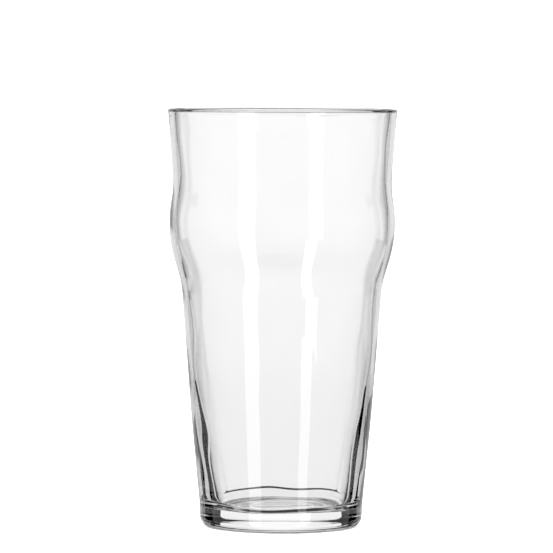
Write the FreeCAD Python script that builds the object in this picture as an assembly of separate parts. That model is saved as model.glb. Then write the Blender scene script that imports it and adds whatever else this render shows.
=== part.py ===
"""A 16 oz pub pint glass with a bulge under the rim, blown in one piece of clear soda-lime glass.

The glass stands on z = 0 and its axis is +Z. Lengths are in millimetres.
It is a solid of revolution. Its half section is one closed outline of straight runs joined by tangent arcs:
out along the underside, round the heel, up the outside, over the rim, down the inside and across the floor.
A corner of the outline is (radius, height, rounding).
"""

import FreeCAD
import Part

import math
import os

# Driving sizes
HEIGHT = 150.2
RIM_RADIUS = 41.3
RIM_WALL = 2.7             # the bead that fire polishing leaves
WALL = 2.5                 # from the shoulder to the rim
FLOOR_HEIGHT = 6.7
PUSH_UP = 2.4              # how far the middle of the underside is lifted off the table
FOOT_RADIUS = 29.12        # where the outside would meet the table with no heel
HEEL_ROUNDING = 3.5

# Outside, from the table up
FOOT = (FOOT_RADIUS, 0.0, HEEL_ROUNDING)
FOOT_BAND = (29.4, 7.8, 15.0)
LOWER_CONE = (32.5, 39.5, 900.0)
SHOULDER = (36.2, 87.5, 28.0)
BULGE = (41.77, 105.9, 47.0)
WAIST = (39.2, 122.1, 37.0)
BEAD_NECK = (41.08, 147.3, 3.0)
BEAD = (RIM_RADIUS, 148.8, 2.0)
RIM_OUTSIDE = (RIM_RADIUS, HEIGHT, 0.8)

# Inside, from the floor up to the shoulder, where the glass thickens downwards
FLOOR_EDGE = (22.5, FLOOR_HEIGHT, 4.2)
LOWER_INSIDE = (29.8, 47.5, 300.0)
RIM_INSIDE = (RIM_RADIUS - RIM_WALL, HEIGHT, 1.4)

# Underside: a dome, a rounded step and the flat ring that the glass stands on
DOME = (10.3, PUSH_UP, 120.0)
STEP_TOP = (20.4, 0.85, 1.0)
STEP_BOTTOM = (21.6, 0.0, 1.0)

# Two shallow round grooves in the dome, left by the edge of the mould's baffle
GROOVE_RADII = (11.8, 16.4)
GROOVE_DEPTH = 0.22
GROOVE_SECTION = 0.8       # radius of the groove's round section


def turn_at(before, corner, after):
    """Heading of the outline as it comes to a corner, and its turn there, positive to the left."""
    heading = math.atan2(corner[1] - before[1], corner[0] - before[0])
    next_heading = math.atan2(after[1] - corner[1], after[0] - corner[0])
    return heading, math.remainder(next_heading - heading, math.tau)


def moved_in(before, corner, after, wall):
    """The corner of the parallel outline that runs `wall` to the left, its rounding on the same centre."""
    heading, turn = turn_at(before, corner, after)
    radius, height, rounding = corner
    normal = heading + turn / 2 + math.pi / 2
    reach = wall / math.cos(turn / 2)
    return (
        radius + reach * math.cos(normal),
        height + reach * math.sin(normal),
        rounding - math.copysign(wall, turn),
    )


def underside():
    return [(0.0, PUSH_UP, 0.0), DOME, STEP_TOP, STEP_BOTTOM]


def outside():
    return [FOOT, FOOT_BAND, LOWER_CONE, SHOULDER, BULGE, WAIST, BEAD_NECK, BEAD, RIM_OUTSIDE]


def inside():
    shoulder = moved_in(LOWER_CONE, SHOULDER, BULGE, WALL)
    bulge = moved_in(SHOULDER, BULGE, WAIST, WALL)
    waist = moved_in(BULGE, WAIST, BEAD_NECK, WALL)
    return [RIM_INSIDE, waist, bulge, shoulder, LOWER_INSIDE, FLOOR_EDGE, (0.0, FLOOR_HEIGHT, 0.0)]


def at(radius, height):
    return FreeCAD.Vector(radius, 0.0, height)


def corner_arc(before, corner, after):
    """Start, middle and end of the arc that rounds a corner."""
    heading, turn = turn_at(before, corner, after)
    radius, height, rounding = corner
    tangent = rounding * math.tan(abs(turn) / 2)
    start = at(radius - tangent * math.cos(heading), height - tangent * math.sin(heading))
    end = at(radius + tangent * math.cos(heading + turn), height + tangent * math.sin(heading + turn))
    to_centre = heading + turn / 2 + math.copysign(math.pi / 2, turn)
    cut_off = rounding / math.cos(turn / 2) - rounding
    middle = at(radius + cut_off * math.cos(to_centre), height + cut_off * math.sin(to_centre))
    return start, middle, end


def half_section(corners):
    """The closed face bounded by the rounded outline and the axis."""
    edges = []
    last = at(*corners[0][:2])
    for before, corner, after in zip(corners, corners[1:], corners[2:]):
        start, middle, end = corner_arc(before, corner, after)
        edges.append(Part.LineSegment(last, start).toShape())
        edges.append(Part.Arc(start, middle, end).toShape())
        last = end
    floor_middle = at(*corners[-1][:2])
    edges.append(Part.LineSegment(last, floor_middle).toShape())
    edges.append(Part.LineSegment(floor_middle, at(*corners[0][:2])).toShape())
    return Part.Face(Part.Wire(edges))


def groove(radius):
    """The ring that is taken out of the dome, centred below its surface."""
    dome_fall = (radius - DOME[0] / 2) / (STEP_TOP[0] - DOME[0] / 2) * (PUSH_UP - STEP_TOP[1])
    centre_height = PUSH_UP - dome_fall + GROOVE_DEPTH - GROOVE_SECTION
    return Part.makeTorus(radius, GROOVE_SECTION, at(0.0, centre_height))


def glass_body():
    section = half_section(underside() + outside() + inside())
    blank = section.revolve(at(0.0, 0.0), FreeCAD.Vector(0, 0, 1), 360)
    solid = Part.Solid(blank.Shells[0])
    return solid.cut([groove(radius) for radius in GROOVE_RADII])


os.makedirs("parts", exist_ok=True)
glass_body().exportStep("parts/glass_body.step")
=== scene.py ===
"""The finished look of a clear pint glass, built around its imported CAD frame. All lengths are in metres."""

import math

import bpy
import numpy as np
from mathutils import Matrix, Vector


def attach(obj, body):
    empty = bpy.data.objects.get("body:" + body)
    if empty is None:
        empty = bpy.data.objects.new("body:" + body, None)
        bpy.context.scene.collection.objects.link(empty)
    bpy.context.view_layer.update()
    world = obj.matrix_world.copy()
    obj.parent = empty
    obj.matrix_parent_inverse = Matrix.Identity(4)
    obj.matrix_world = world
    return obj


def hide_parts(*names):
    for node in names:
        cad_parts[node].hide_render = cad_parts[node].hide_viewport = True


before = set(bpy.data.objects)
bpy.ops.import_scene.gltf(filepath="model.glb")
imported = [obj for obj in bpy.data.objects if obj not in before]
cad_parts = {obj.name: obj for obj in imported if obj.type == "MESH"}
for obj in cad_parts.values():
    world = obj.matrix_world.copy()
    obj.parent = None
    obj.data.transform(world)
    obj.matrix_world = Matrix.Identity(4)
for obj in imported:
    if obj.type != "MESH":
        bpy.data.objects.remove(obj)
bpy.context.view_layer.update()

# The glass. A corner of its outline is (radius, height, rounding).
HEIGHT = 0.1502
RIM_RADIUS = 0.0413
RIM_WALL = 0.0027
WALL = 0.0025
FLOOR_HEIGHT = 0.0067
PUSH_UP = 0.0024
RIM_OUTER_ROUNDING = 0.0008
RIM_INNER_ROUNDING = 0.0014

FOOT_MIDDLE = (0.0238, 0.0, 0.0)
FOOT = (0.02912, 0.0, 0.0035)
FOOT_BAND = (0.0294, 0.0078, 0.015)
LOWER_CONE = (0.0325, 0.0395, 0.9)
SHOULDER = (0.0362, 0.0875, 0.028)
BULGE = (0.04177, 0.1059, 0.047)
WAIST = (0.0392, 0.1221, 0.037)
BEAD_NECK = (0.04108, 0.1473, 0.003)
BEAD = (RIM_RADIUS, 0.1488, 0.002)
RIM_OUTSIDE = (RIM_RADIUS, HEIGHT, RIM_OUTER_ROUNDING)

RIM_INSIDE = (RIM_RADIUS - RIM_WALL, HEIGHT, RIM_INNER_ROUNDING)
LOWER_INSIDE = (0.0298, 0.0475, 0.3)
FLOOR_EDGE = (0.0225, FLOOR_HEIGHT, 0.0042)

DOME = (0.0103, PUSH_UP, 0.12)
STEP_TOP = (0.0204, 0.00085, 0.001)
STEP_BOTTOM = (0.0216, 0.0, 0.001)
GROOVE_RADII = (0.0118, 0.0164)
GROOVE_DEPTH = 0.00022
GROOVE_SECTION = 0.0008

# Unevenness left by the moulding: (times round, radians for each metre up, phase) of each ripple
RIPPLES = ((3, 60.0, 0.4), (7, -130.0, 1.9), (11, 210.0, 0.7))
OUTER_RIPPLE = 0.00003
INNER_RIPPLE = 0.00006
INNER_PHASE = 2.1
# The ripples start at this height and take this far to reach their full size, and to die out under the rim
RIPPLE_START = 0.0084
RIPPLE_FADE = 0.012
# The waves up and down of the floor's edge
FLOOR_RIPPLE = 0.0003
FLOOR_RIPPLE_TIMES = 4
FLOOR_RIPPLE_WIDTH = 0.0045

# The finish: a clear glass with faint cords in it, and its tint along them
GLASS_INDEX = 1.52
CORD_SCALE = 55.0
CORD_DETAIL = 1.0
CORD_DEPTH = 0.00005
TINT_LIGHT = (1.0, 1.0, 1.0, 1.0)
TINT_DARK = (0.985, 0.987, 0.986, 1.0)

# Painted shade: glass seen edge on is darkened towards this colour, a dark outline painted into its base
# colour
EDGE_PAINTED_SHADE = (0.35, 0.355, 0.352, 1.0)
EDGE_SHADE_POWER = 9.0

# How finely the surface is divided: segments round it, and the longest steps along its outline
SEGMENTS = 264
ARC_STEP = math.radians(4.5)
RUN_STEP = 0.0017
UNDER_STEP = 0.0004

# The camera stands this far from the axis and this high over the table
CAMERA_DISTANCE = 1.5
CAMERA_HEIGHT = 0.1729
AIM_HEIGHT = 0.0898
AIM_SIDE = -0.00196
CAMERA_ROLL = math.radians(0.256)
# Lens and sensor are in millimetres
LENS = 271.8
SENSOR = 36.0

# The studio
FLOOR_REACH = 6.0
FLOOR_COLOUR = (0.9, 0.9, 0.9, 1.0)
FLOOR_ROUGHNESS = 0.9
LIGHT_PLACE = (0.0, 0.3, 1.6)
LIGHT_SIZE = 1.6
LIGHT_POWER = 2.0
PANEL_DISTANCE = 6.0
PANEL_COLUMNS = 16
PANEL_ROWS = 8
SOFTBOX_LIGHT = 3.2
# Colour of the background, a little over white: it scales PLAIN_LIGHT, THROUGH_LIGHT and LEVELS
STUDIO_COLOUR = (1.05, 1.05, 1.05, 1.0)
# Brightness that the camera and the floor see
PLAIN_LIGHT = 3.2
# Least brightness that light going straight through the glass meets
THROUGH_LIGHT = 0.87
# Brightness of the studio by the sine of the elevation, as the glass sees it
LEVELS = ((-0.73, 0.02), (-0.67, 0.4), (-0.58, 0.68), (-0.34, 0.84), (-0.12, 0.9), (-0.03, 0.98), (0.14, 1.0),
          (0.32, 0.96), (0.46, 0.6), (0.87, 0.4))
# Brightness by the azimuth away from +Y, in degrees
SPREAD = ((0.0, 1.0), (8.0, 0.98), (14.0, 0.92), (22.0, 0.82), (32.0, 0.74), (60.0, 0.7), (110.0, 0.8),
          (180.0, 0.72))
# Which light sees a panel, told by how often it was reflected and how many surfaces it went through
REFLECTED = "reflected"
SOLID = "solid"
ANY_REFLECTION = 0.5
OVER_TWO_SURFACES = 2.5
# The edges of a panel are (elevation, azimuth, azimuth), in degrees, the azimuth from +Y towards +X.
# Dark flags, one of each on either side: (name, low edge, high edge, brightness, which light sees it)
SIDE_FLAGS = (
    ("wedge", (-34.0, 31.0, 57.0), (-13.0, 33.5, 39.0), 0.0, REFLECTED),
    ("tip", (-13.0, 33.5, 38.0), (-8.0, 35.0, 37.0), 0.35, REFLECTED),
    ("side", (-34.0, 57.0, 70.0), (-8.5, 43.0, 66.0), 0.0, REFLECTED),
    ("mid", (-8.5, 38.0, 50.0), (4.0, 36.0, 50.0), 0.0, REFLECTED),
    ("high", (4.0, 36.0, 50.0), (28.0, 43.0, 54.0), 0.0, REFLECTED),
    ("base", (-8.0, 36.0, 88.0), (28.0, 39.0, 88.0), 0.0, SOLID),
    ("front", (-70.0, 100.0, 180.0), (-44.0, 100.0, 180.0), 0.02, REFLECTED),
    ("rear", (30.0, 120.0, 180.0), (76.0, 120.0, 180.0), 0.02, REFLECTED),
)
# The narrow flag across the middle, which makes the line at the back of the floor
LINE_FLAG = ((-22.0, -22.0, 22.0), (-15.8, -18.0, 18.0))
# Softboxes behind the camera: (name, low edge, high edge)
SOFTBOXES = (
    ("left", (-38.0, -152.0, -135.0), (45.0, -153.0, -132.5)),
    ("right_low", (-38.0, 145.0, 157.0), (-13.0, 143.0, 156.0)),
    ("right_high", (-13.0, 137.5, 152.5), (45.0, 137.5, 152.5)),
)


def turn_at(before, corner, after):
    """Heading of the outline as it comes to a corner, and its turn there, positive to the left."""
    heading = math.atan2(corner[1] - before[1], corner[0] - before[0])
    next_heading = math.atan2(after[1] - corner[1], after[0] - corner[0])
    return heading, math.remainder(next_heading - heading, math.tau)


def moved_in(before, corner, after, wall):
    """The corner of the parallel outline that runs `wall` to the left, its rounding on the same centre."""
    heading, turn = turn_at(before, corner, after)
    radius, height, rounding = corner
    normal = heading + turn / 2 + math.pi / 2
    reach = wall / math.cos(turn / 2)
    return (
        radius + reach * math.cos(normal),
        height + reach * math.sin(normal),
        rounding - math.copysign(wall, turn),
    )


def corner_points(before, corner, after, run_step):
    """Points along the arc that rounds a corner."""
    heading, turn = turn_at(before, corner, after)
    radius, height, rounding = corner
    tangent = rounding * math.tan(abs(turn) / 2)
    side = math.copysign(1.0, turn)
    centre = (
        radius - tangent * math.cos(heading) - side * rounding * math.sin(heading),
        height - tangent * math.sin(heading) + side * rounding * math.cos(heading),
    )
    count = math.ceil(max(abs(turn) / ARC_STEP, abs(turn) * rounding / run_step))
    points = []
    for step in range(count + 1):
        angle = heading + turn * step / count
        points.append((
            centre[0] + side * rounding * math.sin(angle),
            centre[1] - side * rounding * math.cos(angle),
        ))
    return points


def run_points(start, end, run_step):
    """Points between two arcs, ends left out."""
    count = math.ceil(math.dist(start, end) / run_step)
    return [
        (start[0] + (end[0] - start[0]) * step / count, start[1] + (end[1] - start[1]) * step / count)
        for step in range(1, count)
    ]


def rounded(corners, run_step):
    """The outline through a list of corners, its first and last taken as they are."""
    points = [corners[0][:2]]
    for before, corner, after in zip(corners, corners[1:], corners[2:]):
        arc = corner_points(before, corner, after, run_step)
        points += run_points(points[-1], arc[0], run_step) + arc
    last = corners[-1][:2]
    return points + run_points(points[-1], last, run_step) + [last]


def groove_depth(radius):
    """How far the ring grooves cut up into the underside at a radius."""
    depth = 0.0
    for centre in GROOVE_RADII:
        aside = abs(radius - centre)
        if aside < GROOVE_SECTION:
            circle = math.sqrt(GROOVE_SECTION ** 2 - aside ** 2)
            depth = max(depth, circle - (GROOVE_SECTION - GROOVE_DEPTH))
    return depth


def glass_outline():
    """From the middle of the underside round the outside and the rim to the middle of the floor."""
    under = rounded([(0.0, PUSH_UP, 0.0), DOME, STEP_TOP, STEP_BOTTOM, FOOT_MIDDLE], UNDER_STEP)
    under = [(radius, height + groove_depth(radius)) for radius, height in under]
    outside = [FOOT_MIDDLE, FOOT, FOOT_BAND, LOWER_CONE, SHOULDER, BULGE, WAIST, BEAD_NECK, BEAD, RIM_OUTSIDE]
    inside = [
        RIM_INSIDE,
        moved_in(BULGE, WAIST, BEAD_NECK, WALL),
        moved_in(SHOULDER, BULGE, WAIST, WALL),
        moved_in(LOWER_CONE, SHOULDER, BULGE, WALL),
        LOWER_INSIDE,
        FLOOR_EDGE,
        (0.0, FLOOR_HEIGHT, 0.0),
    ]
    return np.array(under[:-1] + rounded(outside + inside, RUN_STEP))


def ripples(angles, heights, phase):
    """Sum of the ripples, about -1 to 1, on a grid of heights and angles."""
    total = sum(
        np.sin(times * angles + climb * heights + start + phase)
        for times, climb, start in RIPPLES
    )
    return total / len(RIPPLES)


def made_uneven(points, inner_start):
    """Ring points (ring, segment, xyz) moved a little off the true shape, the underside and rim left true."""
    radii = np.hypot(points[..., 0], points[..., 1])
    angles = np.arctan2(points[..., 1], points[..., 0])
    heights = points[..., 2]
    fade_in = np.clip((heights - RIPPLE_START) / RIPPLE_FADE, 0.0, 1.0)
    fade_out = np.clip((HEIGHT - heights) / RIPPLE_FADE, 0.0, 1.0)
    inner = np.arange(len(points))[:, None] >= inner_start
    outward = np.where(
        inner,
        INNER_RIPPLE * ripples(angles, heights, INNER_PHASE),
        OUTER_RIPPLE * ripples(angles, heights, 0.0),
    )
    scale = 1.0 + fade_in * fade_out * outward / radii
    near_edge = np.exp(-((radii - FLOOR_EDGE[0]) / FLOOR_RIPPLE_WIDTH) ** 2) * (heights < LOWER_INSIDE[1])
    lift = np.where(inner, FLOOR_RIPPLE * near_edge * np.sin(FLOOR_RIPPLE_TIMES * angles), 0.0)
    return np.stack([points[..., 0] * scale, points[..., 1] * scale, heights + lift], axis=-1)


def revolved(outline):
    """Vertices and faces of a closed surface of revolution whose outline starts and ends on the axis."""
    angles = np.arange(SEGMENTS) * math.tau / SEGMENTS
    rings = outline[1:-1]
    x = rings[:, :1] * np.cos(angles)
    y = rings[:, :1] * np.sin(angles)
    z = np.repeat(rings[:, 1:], SEGMENTS, axis=1)
    inner_start = int(np.argmax(rings[:, 1]))
    vertices = made_uneven(np.stack([x, y, z], axis=-1), inner_start).reshape(-1, 3)
    bottom = len(vertices)
    top = bottom + 1
    vertices = np.vstack([vertices, (0, 0, outline[0, 1]), (0, 0, outline[-1, 1])])
    faces = []
    for ring in range(len(rings) - 1):
        low = ring * SEGMENTS
        high = low + SEGMENTS
        for i in range(SEGMENTS):
            j = (i + 1) % SEGMENTS
            faces.append((low + i, low + j, high + j, high + i))
    last = (len(rings) - 1) * SEGMENTS
    for i in range(SEGMENTS):
        j = (i + 1) % SEGMENTS
        faces.append((bottom, j, i))
        faces.append((top, last + i, last + j))
    return vertices, faces


def put_in(tree, socket, value):
    """Feed a socket with another one, or set it to a plain value."""
    if isinstance(value, bpy.types.NodeSocket):
        tree.links.new(value, socket)
    else:
        socket.default_value = value


def worked_out(tree, operation, *values):
    """Socket with the result of an operation on numbers."""
    node = tree.nodes.new("ShaderNodeMath")
    node.operation = operation
    for socket, value in zip(node.inputs, values):
        put_in(tree, socket, value)
    return node.outputs[0]


def mixed(tree, kind, factor, first, second):
    """Socket with what lies between two numbers (FLOAT) or two colours (RGBA)."""
    node = tree.nodes.new("ShaderNodeMix")
    node.data_type = kind
    for name, value in (("Factor", factor), ("A", first), ("B", second)):
        put_in(tree, node.inputs[name], value)
    return node.outputs["Result"]


def glass_material():
    """Clear glass with faint cords, which bend the light a little and carry its tint, and a painted shade
    that darkens its base colour where it is seen edge on.
    """
    material = bpy.data.materials.new("clear_glass")
    material.use_nodes = True
    tree = material.node_tree
    shader = tree.nodes["Principled BSDF"]
    shader.inputs["Roughness"].default_value = 0.0
    shader.inputs["IOR"].default_value = GLASS_INDEX
    shader.inputs["Transmission Weight"].default_value = 1.0

    place = tree.nodes.new("ShaderNodeTexCoord")
    noise = tree.nodes.new("ShaderNodeTexNoise")
    put_in(tree, noise.inputs["Vector"], place.outputs["Object"])
    put_in(tree, noise.inputs["Scale"], CORD_SCALE)
    put_in(tree, noise.inputs["Detail"], CORD_DETAIL)
    cords = noise.outputs["Fac"]

    bump = tree.nodes.new("ShaderNodeBump")
    put_in(tree, bump.inputs["Height"], cords)
    put_in(tree, bump.inputs["Strength"], 1.0)
    put_in(tree, bump.inputs["Distance"], CORD_DEPTH)
    put_in(tree, shader.inputs["Normal"], bump.outputs["Normal"])

    facing = tree.nodes.new("ShaderNodeLayerWeight").outputs["Facing"]
    cord_tint_and_edge_shade = mixed(tree, "RGBA", cords, TINT_LIGHT, TINT_DARK)
    # Painted shade: the base colour is darkened where the glass is seen edge on, a painted dark outline
    cord_tint_and_edge_shade = mixed(tree, "RGBA", worked_out(tree, "POWER", facing, EDGE_SHADE_POWER), cord_tint_and_edge_shade, EDGE_PAINTED_SHADE)
    put_in(tree, shader.inputs["Base Color"], cord_tint_and_edge_shade)
    return material


def build_glass():
    vertices, faces = revolved(glass_outline())
    mesh = bpy.data.meshes.new("pint_glass")
    mesh.from_pydata(vertices.tolist(), [], faces)
    mesh.shade_smooth()
    glass = bpy.data.objects.new("pint_glass", mesh)
    bpy.context.collection.objects.link(glass)
    mesh.materials.append(glass_material())
    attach(glass, "root")
    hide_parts("glass_body")


def build_camera():
    data = bpy.data.cameras.new("camera")
    data.lens = LENS
    data.sensor_width = SENSOR
    camera = bpy.data.objects.new("camera", data)
    bpy.context.collection.objects.link(camera)
    camera.location = (AIM_SIDE, -CAMERA_DISTANCE, CAMERA_HEIGHT)
    aim = Vector((AIM_SIDE, 0.0, AIM_HEIGHT))
    camera.rotation_euler = (aim - camera.location).to_track_quat("-Z", "Y").to_euler()
    camera.rotation_euler.rotate_axis("Z", CAMERA_ROLL)
    bpy.context.scene.camera = camera


def build_floor():
    mesh = bpy.data.meshes.new("floor")
    corners = [(x * FLOOR_REACH, y * FLOOR_REACH, 0.0) for x, y in ((-1, -1), (1, -1), (1, 1), (-1, 1))]
    mesh.from_pydata(corners, [], [(0, 1, 2, 3)])
    material = bpy.data.materials.new("pale_floor")
    material.use_nodes = True
    shader = material.node_tree.nodes["Principled BSDF"]
    shader.inputs["Base Color"].default_value = FLOOR_COLOUR
    shader.inputs["Roughness"].default_value = FLOOR_ROUGHNESS
    shader.inputs["Specular IOR Level"].default_value = 0.0
    mesh.materials.append(material)
    floor = bpy.data.objects.new("floor", mesh)
    bpy.context.collection.objects.link(floor)
    floor.visible_transmission = False
    floor.visible_glossy = False


def passed_by(tree, seen_by):
    """Socket that is 1 for the light that doesn't see a panel.

    REFLECTED panels are for light reflected at least once in or on the glass. SOLID ones are for light that
    goes in and out of the glass only once, as it does through the floor. Neither is seen straight through
    two walls.
    """
    rays = tree.nodes.new("ShaderNodeLightPath")
    reflections = rays.outputs["Glossy Depth"]
    if seen_by == REFLECTED:
        return worked_out(tree, "LESS_THAN", reflections, ANY_REFLECTION)
    reflected = worked_out(tree, "GREATER_THAN", reflections, ANY_REFLECTION)
    two_walls = worked_out(tree, "GREATER_THAN", rays.outputs["Transmission Depth"], OVER_TWO_SURFACES)
    return worked_out(tree, "MAXIMUM", reflected, two_walls)


def panel_mesh(name, low, high):
    """Part of a sphere round the glass, between its low and high edges."""
    vertices = []
    for row in range(PANEL_ROWS + 1):
        elevation, start, end = (math.radians(a + (b - a) * row / PANEL_ROWS) for a, b in zip(low, high))
        across = PANEL_DISTANCE * math.cos(elevation)
        height = AIM_HEIGHT + PANEL_DISTANCE * math.sin(elevation)
        for column in range(PANEL_COLUMNS + 1):
            azimuth = start + (end - start) * column / PANEL_COLUMNS
            vertices.append((across * math.sin(azimuth), across * math.cos(azimuth), height))
    faces = []
    for row in range(PANEL_ROWS):
        for column in range(PANEL_COLUMNS):
            i = row * (PANEL_COLUMNS + 1) + column
            j = i + PANEL_COLUMNS + 1
            faces.append((i, i + 1, j + 1, j))
    mesh = bpy.data.meshes.new(name)
    mesh.from_pydata(vertices, [], faces)
    return mesh


def panel_material(name, brightness, seen_by):
    """Even brightness, clear to the light that doesn't see the panel."""
    material = bpy.data.materials.new(name)
    material.use_nodes = True
    tree = material.node_tree
    tree.nodes.clear()
    emission = tree.nodes.new("ShaderNodeEmission")
    emission.inputs["Strength"].default_value = brightness
    surface = emission.outputs[0]
    if seen_by:
        clear = tree.nodes.new("ShaderNodeBsdfTransparent")
        pick = tree.nodes.new("ShaderNodeMixShader")
        tree.links.new(passed_by(tree, seen_by), pick.inputs[0])
        tree.links.new(surface, pick.inputs[1])
        tree.links.new(clear.outputs[0], pick.inputs[2])
        surface = pick.outputs[0]
    output = tree.nodes.new("ShaderNodeOutputMaterial")
    tree.links.new(surface, output.inputs["Surface"])
    return material


def panel(name, low, high, brightness, seen_by=None):
    """A curved studio panel that only the glass sees, in all of its light or in the light of seen_by."""
    mesh = panel_mesh(name, low, high)
    mesh.materials.append(panel_material(name, brightness, seen_by))
    sheet = bpy.data.objects.new(name, mesh)
    bpy.context.collection.objects.link(sheet)
    sheet.visible_camera = False
    sheet.visible_diffuse = False
    sheet.visible_shadow = False
    return sheet


def softbox(name, low, high):
    """A bright panel that the glass reflects and that is not seen through it."""
    sheet = panel(name, low, high, SOFTBOX_LIGHT)
    sheet.visible_transmission = False


def brightness_ramp(tree, value, low, high, stops):
    """Socket with the brightness found between the stops, each (value, brightness)."""
    part = tree.nodes.new("ShaderNodeMapRange")
    part.inputs["From Min"].default_value = low
    part.inputs["From Max"].default_value = high
    tree.links.new(value, part.inputs["Value"])
    ramp = tree.nodes.new("ShaderNodeValToRGB")
    elements = ramp.color_ramp.elements
    for position, _ in stops[2:]:
        elements.new((position - low) / (high - low))
    for element, (position, brightness) in zip(elements, stops):
        element.position = (position - low) / (high - low)
        element.color = (brightness, brightness, brightness, 1.0)
    tree.links.new(part.outputs[0], ramp.inputs["Fac"])
    return ramp.outputs["Color"]


def build_world():
    """Plain to the camera and the floor, and shaded by direction to light that comes through the glass."""
    world = bpy.data.worlds.new("studio")
    bpy.context.scene.world = world
    world.use_nodes = True
    tree = world.node_tree
    direction = tree.nodes.new("ShaderNodeTexCoord")
    split = tree.nodes.new("ShaderNodeSeparateXYZ")
    tree.links.new(direction.outputs["Generated"], split.inputs[0])
    azimuth = worked_out(tree, "ARCTAN2", split.outputs["X"], split.outputs["Y"])
    spread_stops = [(math.radians(angle), brightness) for angle, brightness in SPREAD]
    spread = brightness_ramp(tree, worked_out(tree, "ABSOLUTE", azimuth), 0.0, math.pi, spread_stops)
    level = brightness_ramp(tree, split.outputs["Z"], -1.0, 1.0, LEVELS)
    shaded = worked_out(tree, "MULTIPLY", spread, level)

    rays = tree.nodes.new("ShaderNodeLightPath")
    straight = worked_out(tree, "LESS_THAN", rays.outputs["Glossy Depth"], ANY_REFLECTION)
    through = worked_out(tree, "MAXIMUM", shaded, worked_out(tree, "MULTIPLY", straight, THROUGH_LIGHT))
    plain = worked_out(tree, "MAXIMUM", rays.outputs["Is Camera Ray"], rays.outputs["Is Diffuse Ray"])
    background = tree.nodes["Background"]
    background.inputs["Color"].default_value = STUDIO_COLOUR
    tree.links.new(mixed(tree, "FLOAT", plain, through, PLAIN_LIGHT), background.inputs["Strength"])


def build_light():
    data = bpy.data.lights.new("overhead", "AREA")
    data.shape = "DISK"
    data.size = LIGHT_SIZE
    data.energy = LIGHT_POWER
    light = bpy.data.objects.new("overhead", data)
    bpy.context.collection.objects.link(light)
    light.location = LIGHT_PLACE
    light.visible_camera = False
    light.visible_glossy = False
    light.visible_transmission = False


def build_studio():
    build_world()
    build_light()
    build_floor()
    for side, name in ((-1, "left"), (1, "right")):
        for part, low, high, brightness, seen_by in SIDE_FLAGS:
            edges = [(elevation, side * near, side * far) for elevation, near, far in (low, high)]
            panel(f"flag_{part}_{name}", *edges, brightness, seen_by)
    panel("flag_line", *LINE_FLAG, 0.0)
    for name, low, high in SOFTBOXES:
        softbox(f"softbox_{name}", low, high)
    bpy.context.scene.view_settings.view_transform = "Standard"


build_studio()
build_glass()
build_camera()
